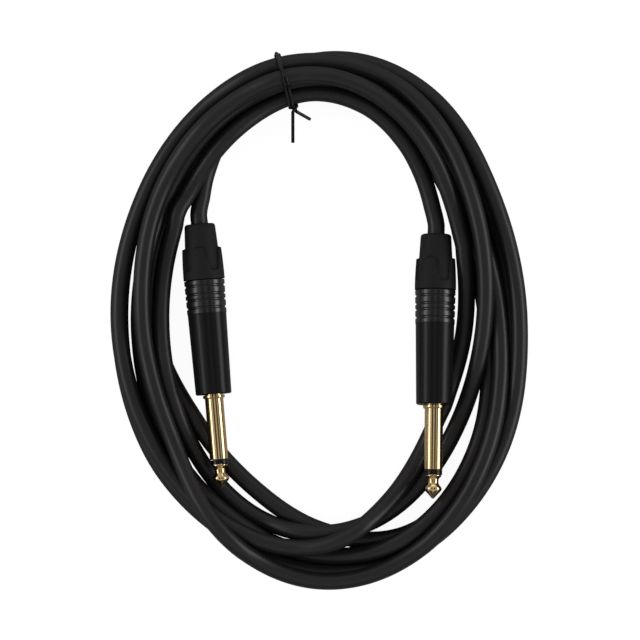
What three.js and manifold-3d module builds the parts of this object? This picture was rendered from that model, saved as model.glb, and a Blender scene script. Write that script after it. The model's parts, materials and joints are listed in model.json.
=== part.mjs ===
// Instrument cable: a long jacketed cable laid in an oval coil, with a quarter-inch jack plug on each end
// and a wire tie round the bundle. Millimetres, +Z up, the surface that it lies on at z = 0, and the
// origin under the middle of the two plugs.
import * as THREE from "three";
import { mergeVertices } from "three/addons/utils/BufferGeometryUtils.js";
import Module from "manifold-3d";

const wasm = await Module();
wasm.setup();

// ---------------------------------------------------------------------------------------------
// Driving sizes. Along a plug, distances run from the front face of the shell: forward to the tip
// is positive, back to the cable is negative.
// ---------------------------------------------------------------------------------------------
const fit_gap = 0.3; // between touching pieces

// Cable
const cable_diameter = 5.8;
const core_diameter = 2.0;
const screen_tail_diameter = 1.2;

// Coil: the oval that its loops follow, and the play between neighbouring turns
const oval_half_width = 61.4;
const oval_half_length = 82.1;
const turn_play = 1.0;
const settle_step = 2.5; // degrees of oval between the points that are let settle
const settle_rounds = 300;
const steps_per_loop = 72;
const section_sides = 6;

// Plug nose: tip, insulator, sleeve and collar
const sleeve_diameter = 6.35;
const sleeve_bore = 4.6;
const collar_diameter = 8.9;
const collar_length = 1.3;
const sleeve_end = 22.6;
const insulator_ring_length = 1.7;
const insulator_ring_diameter = 6.2;
const tip_end = 32.4;
const tip_neck_diameter = 3.3;
const tip_ball_diameter = 5.8;
const tip_rod_diameter = 2.0;

// Plug shell
const shell_length = 39.4;
const shell_front_diameter = 12.6;
const shell_rear_diameter = 14.0;
const shell_bore = 11.2;
const shell_wall_front = 1.5;
const shell_nose_hole = 7.0;
const groove_depth = 0.4;
const groove_width = 0.7;
const groove_places = [-37.4, -34.6, -32.6, -29.9]; // middles of the four turned grooves
const grip_end = -27.6; // where the grooved grip steps down to the smooth barrel
const grip_step = 0.12;

// Inside the plug
const flange_length = 2.2;
const flange_diameter = 10.6;
const rivet_diameter = 5.6;
const lug_thickness = 0.6;
const lug_diameter = 9.6;
const strip_width = 3.0;
const strip_thickness = 0.5;
const strip_depth = 3.3; // from the axis to the near face of the screen strip
const crimp_start = -22.6;
const crimp_length = 3.6;
const washer_length = 1.8;
const washer_diameter = 6.0;
const solder_tab_length = 5.5;
const solder_tab_width = 2.4;
const solder_tab_height = 1.9; // from the axis to the near face of the tip tab
const rod_head_diameter = 3.2;
const rod_head_length = 0.7;
const jacket_front = -21.4; // where the cable's jacket is cut back to
const liner_front = -8.5;
const liner_rear = -27.4;
const liner_diameter = 10.6;
const liner_bore = 9.8;
const collet_front = -28.4;
const collet_rear = -43.6;
const collet_diameter = 8.6;
const collet_bore = 6.4;
const collet_slots = 4;
const collet_slot_width = 0.8;
const collet_slot_length = 9;

// Boot that screws into the shell and clamps the collet
const boot_length = 19.2;
const boot_mouth_diameter = 10.5;
const boot_neck_diameter = 12.4;
const boot_shoulder_diameter = 13.5;
const boot_base_diameter = 14.4;
const boot_mouth_round = 0.6;
const boot_bore = 6.6;
const boot_lobes = 4;
const boot_lobe_top = 10.6; // from the base to the arched tops of the lobes
const boot_lobe_foot = 2.8; // from the base to the round feet of the hollows between them
const boot_spigot_length = 6.0;
const boot_spigot_diameter = 10.6;
const boot_spigot_bore = 9.2;
const boot_travel = 4.0; // that the boot backs off when it is unscrewed

// Where the plugs lie: the front face of the shell, out and down from the middle of the oval
const left_plug_out = 36.6;
const left_plug_down = 25.6;
const right_plug_out = 39.2;
const right_plug_down = 29.1;
// A plug's heading is turned from straight down the oval, its lift is from the turns under its nose,
// and the boot is turned about the plug to where its lobes lie.
const plugs = [
  { side: "left", x: -left_plug_out, y: -left_plug_down, heading: 4.8, lift: 2.2, boot_turn: 9 },
  { side: "right", x: right_plug_out, y: -right_plug_down, heading: -0.8, lift: 5.6, boot_turn: 20 },
];

// Leads between the boots and the coil
const lead_straight = 7; // kept in line with the plug, so that the boot can back off
const lead_point_space = 3.2;
const lead_steps = 7;

// Tie
const tie_diameter = 0.95;
const tie_angle = -10; // clock angle of the tie, in degrees past twelve
const tie_rise = tie_diameter + 2 * fit_gap; // that the tied turns are lifted to let the wire pass
const tie_rise_reach = 12; // degrees to either side over which they sink back
const tie_steps = 24;
const tie_slant = 0.8; // that the outer side of the wire lies anticlockwise of its middle
const tie_twist_radius = 0.85;
const tie_twist_length = 3;
const tie_droop = 25; // degrees that the twist points down
const tie_tails = [[10.4, -3.2, 2.5], [4.4, 4.6, 6]]; // ends: inwards from the wire, sideways, height

// The lie of the cable, read off the photograph at every hour of a clock face over the coil: the
// offset out from the oval in mm, and the layer that the cable is in, 0 on the surface.
// A row is one loop, from twelve round to eleven; the first and last rows are the part loops.
const lie = [
  [
    [0.7, 0],
  ], // from eleven, out of the left lead
  [
    [7.0, 0], [9.2, 0], [6.6, 1], [7.4, 1], [9.6, 1], [7.4, 1],
    [6.2, 0], [2.6, 0], [6.0, 0], [7.7, 0], [7.4, 0.4], [5.5, 1],
  ],
  [
    [1.6, 0.6], [2.8, 0], [4.3, 0], [5.0, 0], [6.2, 0], [3.2, 0],
    [-9.7, 0], [-14.9, 0], [-12.0, 0], [-3.8, 0], [-2.8, 0], [-3.4, 0.7],
  ],
  [
    [-3.9, 0], [-5.5, 0], [-6.4, 0], [-3.6, 0], [1.8, 0.6], [3.2, 1],
    [1.2, 0.7], [-1.5, 0.7], [0.3, 0.2], [1.0, 0.7], [2.8, 1], [1.7, 1.3],
  ],
  [
    [1.6, 1.6], [-0.3, 1], [-2.6, 0.7], [-0.1, 1], [5.0, 2], [8.2, 2],
    [7.9, 1], [3.4, 2.6], [-1.6, 1.2], [-0.1, 1.7], [1.3, 2], [1.4, 2.5],
  ],
  [
    [1.5, 2.8], [-2.2, 2], [-7.5, 1], [-11.4, 0], [-13.8, 0], [-11.0, 0.9],
    [-4.0, 1.5], [1.7, 1.7], [6.3, 1], [7.8, 1], [7.4, 1.5], [7.0, 2],
  ],
  [
    [6.9, 1.3], [4.8, 1], [-0.6, 1.7], [-4.4, 1.8], [-7.2, 0.3], [-8.1, 0],
    [-9.0, 0.8], [-7.5, 0], [-7.0, 0.7], [-6.5, 1], [-5.9, 1], [-5.4, 1.7],
  ],
  [
    [-3.9, 1.3], [-7.5, 1.1],
  ], // to one, into the right lead
];

// ---------------------------------------------------------------------------------------------
// Materials
// ---------------------------------------------------------------------------------------------
const finish = (color, roughness, metalness) =>
  new THREE.MeshStandardMaterial({ color, roughness, metalness });
const gold = finish(0xd9b36a, 0.25, 1);
const black_shell = finish(0x1c1c1e, 0.35, 0.8);
const black_rubber = finish(0x222222, 0.7, 0);
const black_jacket = finish(0x232122, 0.6, 0);
const black_insulator = finish(0x101010, 0.3, 0);
const white_plastic = finish(0xd8d6d0, 0.5, 0);
const clear_plastic = finish(0xb9bcc0, 0.4, 0);
const tinned = finish(0xb8bbbd, 0.35, 1);
const core_plastic = finish(0xe6e2da, 0.5, 0);

// ---------------------------------------------------------------------------------------------
// Shapes
// ---------------------------------------------------------------------------------------------
const radians = THREE.MathUtils.degToRad;

// A turned piece: [place along the plug, radius], rear to front outside and back again inside.
function turned(profile, segments = 24) {
  const points = profile.map(([place, radius]) => new THREE.Vector2(radius, place));
  if (profile[0][1] > 0) points.push(points[0].clone());
  return new THREE.LatheGeometry(points, segments);
}

// A surface from rings of points, each ring closed; the rings follow one another and either close on
// the first or are capped at both ends.
function ringed(rings, closed) {
  const sides = rings[0].length;
  const position = rings.flat().flatMap((p) => [p.x, p.y, p.z]);
  const index = [];
  const last = closed ? rings.length : rings.length - 1;
  for (let i = 0; i < last; i++) {
    const next = ((i + 1) % rings.length) * sides;
    for (let j = 0; j < sides; j++) {
      const k = (j + 1) % sides;
      index.push(i * sides + j, i * sides + k, next + j);
      index.push(next + k, next + j, i * sides + k);
    }
  }
  if (!closed)
    for (let j = 1; j < sides - 1; j++) {
      index.push(0, j + 1, j);
      const end = (rings.length - 1) * sides;
      index.push(end, end + j, end + j + 1);
    }
  return new THREE.BufferGeometry()
    .setAttribute("position", new THREE.Float32BufferAttribute(position, 3))
    .setIndex(index);
}

function block(width, from, to, bottom, top) {
  return new THREE.BoxGeometry(width, to - from, top - bottom).translate(
    0,
    (from + to) / 2,
    (bottom + top) / 2,
  );
}

function wire(points, diameter, sides, steps) {
  const section = new THREE.Shape(
    Array.from({ length: sides }, (_, i) =>
      new THREE.Vector2(0, diameter / 2).rotateAround(
        new THREE.Vector2(),
        (2 * Math.PI * i) / sides,
      ),
    ),
  );
  const extrudePath = new THREE.CatmullRomCurve3(points);
  return new THREE.ExtrudeGeometry(section, { extrudePath, steps });
}

function toSolid(geometry) {
  const bare = geometry.clone();
  bare.deleteAttribute("normal");
  bare.deleteAttribute("uv");
  const merged = mergeVertices(bare, 1e-4);
  return new wasm.Manifold(
    new wasm.Mesh({
      numProp: 3,
      vertProperties: merged.attributes.position.array,
      triVerts: new Uint32Array(merged.index.array),
    }),
  );
}

function toGeometry(solid) {
  const { numProp, vertProperties, triVerts } = solid.getMesh();
  const position = [];
  for (let i = 0; i < vertProperties.length; i += numProp)
    position.push(vertProperties[i], vertProperties[i + 1], vertProperties[i + 2]);
  const geometry = new THREE.BufferGeometry()
    .setAttribute("position", new THREE.Float32BufferAttribute(position, 3))
    .setIndex(new THREE.BufferAttribute(triVerts, 1));
  geometry.computeVertexNormals();
  return geometry;
}

const joined = (first, ...others) =>
  toGeometry(others.reduce((all, g) => all.add(toSolid(g)), toSolid(first)));
const cut = (first, ...others) =>
  toGeometry(others.reduce((all, g) => all.subtract(toSolid(g)), toSolid(first)));

function piece(name, geometry, material) {
  const mesh = new THREE.Mesh(geometry, material);
  mesh.name = name;
  return mesh;
}

// ---------------------------------------------------------------------------------------------
// Plug
// ---------------------------------------------------------------------------------------------
const rod_clear = tip_rod_diameter / 2 + fit_gap;
const ring_front = sleeve_end + fit_gap + insulator_ring_length;
const flange_front = -shell_wall_front - fit_gap;
const flange_rear = flange_front - flange_length;
const lug_front = flange_rear - fit_gap;
const lug_rear = lug_front - lug_thickness;
const washer_front = lug_rear - fit_gap;
const washer_rear = washer_front - washer_length;
const tab_front = washer_rear - fit_gap;
const tab_rear = tab_front - lug_thickness;
const head_front = tab_rear - fit_gap;
const boot_base = -shell_length - fit_gap;
const boot_mouth = boot_base - boot_length;

// The tip contact: pointed ball, neck and flare in front of the insulator, and the rod that runs back
// through the plug to its riveted head.
function tipContact() {
  const rear = ring_front + fit_gap;
  const neck = tip_neck_diameter / 2;
  const ball = tip_ball_diameter / 2;
  const flare = insulator_ring_diameter / 2;
  const rod = tip_rod_diameter / 2;
  return turned([
    [head_front - rod_head_length, 0],
    [head_front - rod_head_length, rod_head_diameter / 2],
    [head_front, rod_head_diameter / 2],
    [head_front, rod],
    [rear, rod],
    [rear, flare - 0.25],
    [rear + 0.6, flare - 0.25],
    [rear + 1.5, neck + 0.25],
    [rear + 2.2, neck],
    [rear + 2.9, neck + 0.15],
    [tip_end - 4.1, ball - 0.35],
    [tip_end - 3.3, ball],
    [tip_end - 2.7, ball - 0.15],
    [tip_end - 0.5, 0.8],
    [tip_end, 0],
  ]);
}

function tipInsulator() {
  const tube = sleeve_bore / 2 - fit_gap;
  const ring = insulator_ring_diameter / 2;
  const rear = flange_rear + 0.5;
  return turned([
    [rear, tube],
    [sleeve_end + fit_gap, tube],
    [sleeve_end + fit_gap, ring],
    [ring_front, ring],
    [ring_front, rod_clear],
    [rear, rod_clear],
  ]);
}

// The sleeve contact: barrel and collar outside, and inside the shell a flange with a rivet end.
function sleeveContact() {
  const barrel = sleeve_diameter / 2;
  const bore = sleeve_bore / 2;
  const rivet_rear = lug_rear + 0.1;
  return turned([
    [rivet_rear, rivet_diameter / 2],
    [flange_rear, rivet_diameter / 2],
    [flange_rear, flange_diameter / 2],
    [flange_front, flange_diameter / 2],
    [flange_front, barrel],
    [fit_gap, barrel],
    [fit_gap, collar_diameter / 2],
    [fit_gap + collar_length - 0.3, collar_diameter / 2],
    [fit_gap + collar_length, collar_diameter / 2 - 0.3],
    [fit_gap + collar_length, barrel],
    [sleeve_end, barrel],
    [sleeve_end, bore],
    [rivet_rear, bore],
  ]);
}

const rearInsulator = () =>
  turned([
    [washer_rear, washer_diameter / 2],
    [washer_front, washer_diameter / 2],
    [washer_front, rod_clear],
    [washer_rear, rod_clear],
  ]);

// Solder tab of the tip: a washer round the rod, and a tongue back from it over the axis.
function tipLug() {
  const outer = solder_tab_height + lug_thickness;
  const washer = turned([
    [tab_rear, outer],
    [tab_front, outer],
    [tab_front, rod_clear],
    [tab_rear, rod_clear],
  ]);
  const tongue_rear = tab_rear - solder_tab_length;
  const tongue = block(solder_tab_width, tongue_rear, tab_front - 0.1, solder_tab_height, outer - 0.05);
  return joined(washer, tongue);
}

// Screen lug: a ring riveted behind the flange, a strip back under the axis, and an open crimp
// round the jacket.
function screenLug() {
  const far = strip_depth + strip_thickness;
  const near = cable_diameter / 2 + fit_gap;
  const crimp_rear = crimp_start - crimp_length;
  const ring = turned([
    [lug_rear, lug_diameter / 2],
    [lug_front, lug_diameter / 2],
    [lug_front, rivet_diameter / 2 + fit_gap],
    [lug_rear, rivet_diameter / 2 + fit_gap],
  ]);
  const strip = block(strip_width, crimp_rear, lug_front - 0.1, -far, -strip_depth);
  const crimp = turned([
    [crimp_rear, far],
    [crimp_start, far],
    [crimp_start, near],
    [crimp_rear, near],
  ]);
  const opening = block(strip_width, crimp_rear - 1, crimp_start + 1, 0, far + 1);
  return joined(ring, strip, cut(crimp, opening));
}

function coreWire(side) {
  const points = [
    [jacket_front + fit_gap, 0],
    [jacket_front + 2.2, 0.1],
    [tab_rear - solder_tab_length + 1, 0.55],
    [head_front - rod_head_length - fit_gap - 0.3, 0.55],
  ];
  return piece(
    "core_wire_" + side,
    wire(points.map(([s, h]) => new THREE.Vector3(0, s, h)), core_diameter, 8, 6),
    core_plastic,
  );
}

function screenTail(side) {
  const along = -strip_depth + fit_gap + screen_tail_diameter / 2;
  const points = [
    [jacket_front + fit_gap, -2.05],
    [jacket_front + 2.5, (along - 2.05) / 2],
    [jacket_front + 5.5, along],
    [lug_rear - 5.5, along],
  ];
  return piece(
    "screen_tail_" + side,
    wire(points.map(([s, h]) => new THREE.Vector3(0, s, h)), screen_tail_diameter, 8, 6),
    tinned,
  );
}

const liner = () =>
  turned([
    [liner_rear, liner_diameter / 2],
    [liner_front, liner_diameter / 2],
    [liner_front, liner_bore / 2],
    [liner_rear, liner_bore / 2],
  ]);

// The shell: grooved grip at the rear, tapered barrel and a front wall that the sleeve passes.
function shell() {
  const outside = (s) =>
    THREE.MathUtils.mapLinear(s, -shell_length, 0, shell_rear_diameter, shell_front_diameter) / 2;
  const profile = [
    [-shell_length, outside(-shell_length) - 0.2],
    [-shell_length + 0.2, outside(-shell_length + 0.2)],
  ];
  for (const place of groove_places)
    for (const [edge, depth] of [[-0.5, 0], [-0.3, groove_depth], [0.3, groove_depth], [0.5, 0]]) {
      const s = place + edge * groove_width;
      profile.push([s, outside(s) - depth]);
    }
  profile.push(
    [grip_end - 0.4, outside(grip_end - 0.4)],
    [grip_end, outside(grip_end) - grip_step],
    [-0.5, outside(-0.5) - grip_step],
    [0, outside(0) - grip_step - 0.4],
    [0, shell_nose_hole / 2],
    [-shell_wall_front, shell_nose_hole / 2],
    [-shell_wall_front, shell_bore / 2],
    [-shell_length, shell_bore / 2],
  );
  return turned(profile, 28);
}

// The collet that grips the jacket, slit from its front end.
function collet() {
  const tube = turned([
    [collet_rear, collet_diameter / 2],
    [collet_front - 1, collet_diameter / 2],
    [collet_front, collet_diameter / 2 - 0.6],
    [collet_front, collet_bore / 2],
    [collet_rear, collet_bore / 2],
  ]);
  const slots = Array.from({ length: collet_slots }, (_, i) =>
    block(collet_slot_width, collet_front - collet_slot_length, collet_front + 1, 0, collet_diameter)
      .rotateY((2 * Math.PI * (i + 0.5)) / collet_slots),
  );
  return cut(tube, ...slots);
}

// The boot: a tapered rubber sleeve with lobes round its base, and a threaded spigot in the shell.
function boot(turn) {
  const segments = 32;
  const at = (share, from, to) => from + (to - from) * share;
  const rings = [];
  for (let i = 0; i < segments; i++) {
    const angle = (2 * Math.PI * i) / segments;
    const wave = Math.cos(boot_lobes * (angle - radians(turn)));
    const lobe = THREE.MathUtils.clamp(0.5 + 0.8 * wave, 0, 1);
    const edge = boot_base - at(lobe, boot_lobe_foot, boot_lobe_top);
    const share = (edge - boot_base) / (boot_mouth - boot_base);
    const under = at(share, boot_neck_diameter + 0.4, boot_mouth_diameter) / 2;
    const over = at((edge - boot_base) / -boot_lobe_top, boot_base_diameter, boot_shoulder_diameter) / 2;
    const profile = [
      [boot_mouth, boot_mouth_diameter / 2 - boot_mouth_round],
      [boot_mouth + boot_mouth_round, boot_mouth_diameter / 2],
      [edge - 0.5, under],
      [edge, over],
      [boot_base, boot_base_diameter / 2],
      [boot_base, boot_spigot_diameter / 2],
      [boot_base + boot_spigot_length, boot_spigot_diameter / 2],
      [boot_base + boot_spigot_length, boot_spigot_bore / 2],
      [collet_rear - fit_gap - boot_travel / 4, boot_spigot_bore / 2],
      [collet_rear - fit_gap - boot_travel / 4, boot_bore / 2],
      [boot_mouth, boot_bore / 2],
    ];
    rings.push(
      profile.map(([s, r]) => new THREE.Vector3(r * Math.sin(angle), s, r * Math.cos(angle))),
    );
  }
  return ringed(rings.reverse(), true);
}

const jacketEnd = () =>
  turned(
    [
      [boot_mouth + fit_gap / 2, 0],
      [boot_mouth + fit_gap / 2, cable_diameter / 2],
      [jacket_front, cable_diameter / 2],
      [jacket_front, 0],
    ],
    16,
  );

// The plug's own frame: +Y to the tip, +Z up, the shell's front face at the origin.
function plug({ side, x, y, heading, lift, boot_turn }) {
  const group = new THREE.Group();
  group.add(
    piece("tip_contact_" + side, tipContact(), gold),
    piece("tip_insulator_" + side, tipInsulator(), black_insulator),
    piece("sleeve_contact_" + side, sleeveContact(), gold),
    piece("rear_insulator_" + side, rearInsulator(), white_plastic),
    piece("tip_lug_" + side, tipLug(), tinned),
    piece("screen_lug_" + side, screenLug(), tinned),
    coreWire(side),
    screenTail(side),
    piece("liner_" + side, liner(), clear_plastic),
    piece("shell_" + side, shell(), black_shell),
    piece("collet_" + side, collet(), white_plastic),
    piece("boot_" + side, boot(boot_turn), black_rubber),
    piece("jacket_end_" + side, jacketEnd(), black_jacket),
  );
  const way = new THREE.Vector3(
    Math.sin(radians(heading)) * Math.cos(radians(lift)),
    -Math.cos(radians(heading)) * Math.cos(radians(lift)),
    Math.sin(radians(lift)),
  );
  const across = new THREE.Vector3().crossVectors(way, new THREE.Vector3(0, 0, 1)).normalize();
  const above = new THREE.Vector3().crossVectors(across, way);
  group.quaternion.setFromRotationMatrix(new THREE.Matrix4().makeBasis(across, way, above));
  // The boot rests on the surface.
  group.position.set(x, y, 0);
  group.updateMatrixWorld(true);
  group.position.z = -new THREE.Box3().setFromObject(group, true).min.z;
  group.updateMatrixWorld(true);
  return group;
}

// ---------------------------------------------------------------------------------------------
// Cable route
// ---------------------------------------------------------------------------------------------
const radius = cable_diameter / 2;
const pitch = cable_diameter + turn_play;
const hours = lie.flat();
const first_clock = -30 * lie[0].length;
const last_clock = first_clock + 30 * (hours.length - 1);
const lie_curve = new THREE.SplineCurve(hours.map(([offset, layer]) => new THREE.Vector2(offset, layer)));

// The cable's middle at a clock angle, counted on from loop to loop.
function onOval(clock) {
  const share = (clock - first_clock) / (last_clock - first_clock);
  const { x: offset, y: layer } = lie_curve.getPoint(share);
  const east = Math.sin(radians(clock));
  const north = Math.cos(radians(clock));
  const out = new THREE.Vector3(oval_half_length * east, oval_half_width * north, 0).normalize();
  return new THREE.Vector3(
    oval_half_width * east,
    oval_half_length * north,
    radius + pitch * Math.max(0, layer),
  ).addScaledVector(out, offset);
}

// A lead, from a boot's mouth: in line with the plug, then in one curve to where its loop starts.
function leadPoints(group, clock, next_clock) {
  const from = (back) => group.localToWorld(new THREE.Vector3(0, boot_mouth - fit_gap / 2 - back, 0));
  const loop = onOval(clock);
  const loop_way = onOval(next_clock).sub(loop).normalize();
  const start = from(lead_straight);
  const reach = start.distanceTo(loop) / 3;
  const curve = new THREE.CubicBezierCurve3(
    start,
    from(lead_straight + reach),
    loop.clone().addScaledVector(loop_way, -reach),
    loop,
  );
  const count = Math.round(curve.getLength() / lead_point_space);
  return [from(0), from(lead_straight / 2), ...curve.getSpacedPoints(count).slice(0, -1)];
}

// Moves a point of the cable's middle out of a plug. Each span of a plug is a place and a radius at
// both of its ends; the boot's is drawn out by its travel.
const plug_spans = [
  [boot_mouth - boot_travel, boot_mouth_diameter / 2, boot_base - boot_lobe_top, boot_shoulder_diameter / 2],
  [boot_base - boot_lobe_top - boot_travel, boot_shoulder_diameter / 2, boot_base, boot_base_diameter / 2],
  [boot_base, boot_base_diameter / 2, 0, shell_front_diameter / 2],
  [0, collar_diameter / 2, fit_gap + collar_length, collar_diameter / 2],
  [0, sleeve_diameter / 2, tip_end, sleeve_diameter / 2],
];
function clearOfPlug(point, group) {
  const p = group.worldToLocal(point.clone());
  for (const [s0, r0, s1, r1] of plug_spans) {
    const along = THREE.MathUtils.clamp(p.y, s0, s1);
    const girth = THREE.MathUtils.mapLinear(along, s0, s1, r0, r1);
    const from_axis = Math.hypot(p.x, p.z);
    const past = p.y - along;
    const off = Math.max(0, from_axis - girth);
    const clear = Math.hypot(past, off);
    const short = radius + 1.5 * fit_gap - clear;
    if (short <= 0) continue;
    const grown = clear > 0 ? (off / clear) * short : short;
    p.x *= 1 + grown / from_axis;
    p.z *= 1 + grown / from_axis;
    if (clear > 0) p.y += (past / clear) * short;
  }
  point.copy(group.localToWorld(p));
}

// Pairs of points of different stretches that lie near one another in plan.
function closePairs(points) {
  const pairs = [];
  for (let i = 0; i < points.length; i++)
    for (let j = i + 9; j < points.length; j++)
      if (Math.hypot(points[i].x - points[j].x, points[i].y - points[j].y) < 1.35 * pitch)
        pairs.push([points[i], points[j], i, j]);
  return pairs;
}

// Lets the laid cable settle: it sinks under its weight and its own stiffness evens it out, while
// turns that touch are pushed apart until each has its play. The points that are held stay put.
function settle(points, floor, held, evening, groups) {
  const start = points.map((p) => p.clone());
  const bend = (list, i) => list[i - 1].clone().add(list[i + 1]).multiplyScalar(0.5).sub(list[i]);
  const natural = start.map((p, i) => (held(i) ? p : bend(start, i)));
  let pairs = [];
  for (let round = 0; round < settle_rounds; round++) {
    if (round % 10 === 0) pairs = closePairs(points);
    const sinking = round < settle_rounds - 60;
    const bends = points.map((p, i) => (held(i) ? p : bend(points, i)));
    points.forEach((p, i) => {
      if (held(i)) return;
      const home = sinking ? 0.08 : 0;
      p.x += home * (start[i].x - p.x) + 0.3 * (bends[i].x - natural[i].x);
      p.y += home * (start[i].y - p.y) + 0.3 * (bends[i].y - natural[i].y);
      p.z += sinking ? 0.3 * bends[i].z - 0.04 : evening(i) * bends[i].z;
      p.z = Math.max(p.z, floor[i]);
    });
    const push = points.map(() => new THREE.Vector3());
    const pushes = points.map(() => 0);
    for (const [a, b, i, j] of pairs) {
      const apart = b.clone().sub(a);
      const distance = apart.length();
      if (distance >= pitch) continue;
      apart.multiplyScalar((pitch - distance) / distance / 2);
      push[i].sub(apart);
      push[j].add(apart);
      pushes[i]++;
      pushes[j]++;
    }
    points.forEach((p, i) => {
      if (held(i)) return;
      p.addScaledVector(push[i], 1 / Math.max(1, Math.sqrt(pushes[i])));
      for (const group of groups) clearOfPlug(p, group);
      p.z = Math.max(p.z, floor[i]);
    });
  }
}

// A tube of flat-sided section along points, a corner of the section straight down.
function tube(points, diameter, sides) {
  const rings = points.map((p, i) => {
    const before = points[Math.max(0, i - 1)];
    const after = points[Math.min(points.length - 1, i + 1)];
    const along = after.clone().sub(before).normalize();
    const side = new THREE.Vector3(0, 0, 1).cross(along).normalize();
    const up = along.clone().cross(side);
    return Array.from({ length: sides }, (_, k) => {
      const a = (2 * Math.PI * k) / sides;
      return p
        .clone()
        .addScaledVector(up, (-diameter / 2) * Math.cos(a))
        .addScaledVector(side, (diameter / 2) * Math.sin(a));
    });
  });
  return ringed(rings, false);
}

// ---------------------------------------------------------------------------------------------
// Assembly
// ---------------------------------------------------------------------------------------------
const object = new THREE.Group();
const groups = plugs.map(plug);
object.add(...groups);

const lead_in = leadPoints(groups[0], first_clock, first_clock + 1);
const lead_out = leadPoints(groups[1], last_clock, last_clock - 1).reverse();
const clocks = [];
for (let clock = first_clock; clock <= last_clock; clock += settle_step) clocks.push(clock);
const route = [...lead_in, ...clocks.map(onOval), ...lead_out];
const coil_from = lead_in.length;
const coil_to = coil_from + clocks.length - 1;

// Near the tie the turns lie higher, for its wire to pass under them.
const floor = route.map((_, i) => {
  const clock = clocks[i - coil_from] ?? first_clock;
  const off = ((clock - tie_angle + 540) % 360) - 180;
  return radius + tie_rise * Math.exp(-((off / tie_rise_reach) ** 2));
});
const last = route.length - 1;
settle(
  route,
  floor,
  (i) => i < 3 || i > last - 3, // the straight ends
  (i) => (i < 10 || i > last - 10 ? 0.45 : 0.1), // the leads are let even out most
  groups,
);

// The coil's own points: its first and last steps are one diameter long, and straight.
const stride = 360 / steps_per_loop / settle_step;
const coil_points = [route[coil_from]];
for (let i = coil_from + 2; i < coil_to - 2; i += stride) coil_points.push(route[i]);
coil_points.push(route[coil_to - 2], route[coil_to]);

// Least gap of the coil to itself, over its faceted middle line.
function leastGap(points) {
  const fine = [];
  for (let i = 0; i < points.length - 1; i++)
    for (let share = 0; share < 1; share += 0.25) fine.push(points[i].clone().lerp(points[i + 1], share));
  let least = Infinity;
  for (let i = 0; i < fine.length; i++)
    for (let j = i + 24; j < fine.length; j++) least = Math.min(least, fine[i].distanceTo(fine[j]));
  return least - cable_diameter;
}
console.log("coil: least gap to itself " + leastGap(coil_points).toFixed(2) + " mm");

object.add(piece("cable_coil", tube(coil_points, cable_diameter, section_sides), black_jacket));

function lead(name, points, loop, loop_next) {
  const back = loop.clone().sub(loop_next).setLength(fit_gap);
  const end = loop.clone().add(back);
  const path = [...points.slice(0, -1), end.clone().addScaledVector(back, 6), end];
  return piece(name, wire(path, cable_diameter, 8, lead_steps), black_jacket);
}
object.add(
  lead("cable_lead_left", route.slice(0, coil_from), coil_points[0], coil_points[1]),
  lead("cable_lead_right", route.slice(coil_to + 1).reverse(), coil_points.at(-1), coil_points.at(-2)),
);

// The tie: a wire drawn once round the turns, its ends twisted together and left sticking inwards.
function tie() {
  const wire_out = radius + tie_diameter / 2 + 1.5 * fit_gap;
  const crossings = [];
  for (let clock = tie_angle; clock < last_clock; clock += 360)
    crossings.push(route[coil_from + Math.round((clock - first_clock) / settle_step)]);
  const a = radians(tie_angle);
  const out = new THREE.Vector3(oval_half_length * Math.sin(a), oval_half_width * Math.cos(a), 0);
  out.normalize();
  const up = new THREE.Vector3(0, 0, 1);
  const along = out.clone().cross(up);
  const middle = crossings.reduce((sum, p) => sum.add(p), new THREE.Vector3()).divideScalar(crossings.length);
  const round = Array.from({ length: tie_steps + 1 }, (_, i) => {
    const turn = Math.PI + (2 * Math.PI * i) / tie_steps;
    const way = out.clone().multiplyScalar(Math.cos(turn)).addScaledVector(up, Math.sin(turn));
    const farthest = crossings.reduce((best, p) => (p.dot(way) > best.dot(way) ? p : best));
    const p = farthest.clone().addScaledVector(way, wire_out);
    p.addScaledVector(along, middle.clone().sub(p).dot(along) - tie_slant * Math.cos(turn));
    return p.addScaledVector(along, tie_twist_radius * (1 - (2 * i) / tie_steps));
  });
  const start = round[0].clone().add(round.at(-1)).multiplyScalar(0.5);
  const inward = out.clone().multiplyScalar(-Math.cos(radians(tie_droop)));
  inward.addScaledVector(up, -Math.sin(radians(tie_droop)));
  const across = inward.clone().cross(along);
  const twist = (phase) =>
    [1, 2, 3, 4].map((i) =>
      start
        .clone()
        .addScaledVector(inward, (tie_twist_length * i) / 4)
        .addScaledVector(along, tie_twist_radius * Math.cos(phase + (Math.PI * i) / 4))
        .addScaledVector(across, tie_twist_radius * Math.sin(phase + (Math.PI * i) / 4)),
    );
  const tail = ([away, sideways, height]) =>
    new THREE.Vector3(start.x, start.y, height).addScaledVector(out, -away).addScaledVector(along, sideways);
  const first = [...twist(0), tail(tie_tails[0])].reverse();
  const second = [...twist(Math.PI), tail(tie_tails[1])];
  return tube([...first, ...round, ...second], tie_diameter, 6);
}
object.add(piece("tie", tie(), black_insulator));

// The origin goes under the middle of the plugs.
const extent = new THREE.Box3();
for (const group of groups) extent.union(new THREE.Box3().setFromObject(group, true));
const middle = extent.getCenter(new THREE.Vector3());
object.position.set(-middle.x, -middle.y, 0);
object.updateMatrixWorld(true);

export default object;
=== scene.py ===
"""The looks of an instrument cable: an oval coil under a wire tie, with a jack plug at each end.

Settings and meshes are in metres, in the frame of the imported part. Shapes are worked out in mm: a
plug's from its shell's front face with the tip at +Y, and the coil's from its middle.
"""
import json
import math
from functools import partialmethod

import bpy
import numpy as np
from bpy.types import Operator, Panel, PropertyGroup
from mathutils import Matrix, Vector


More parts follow.
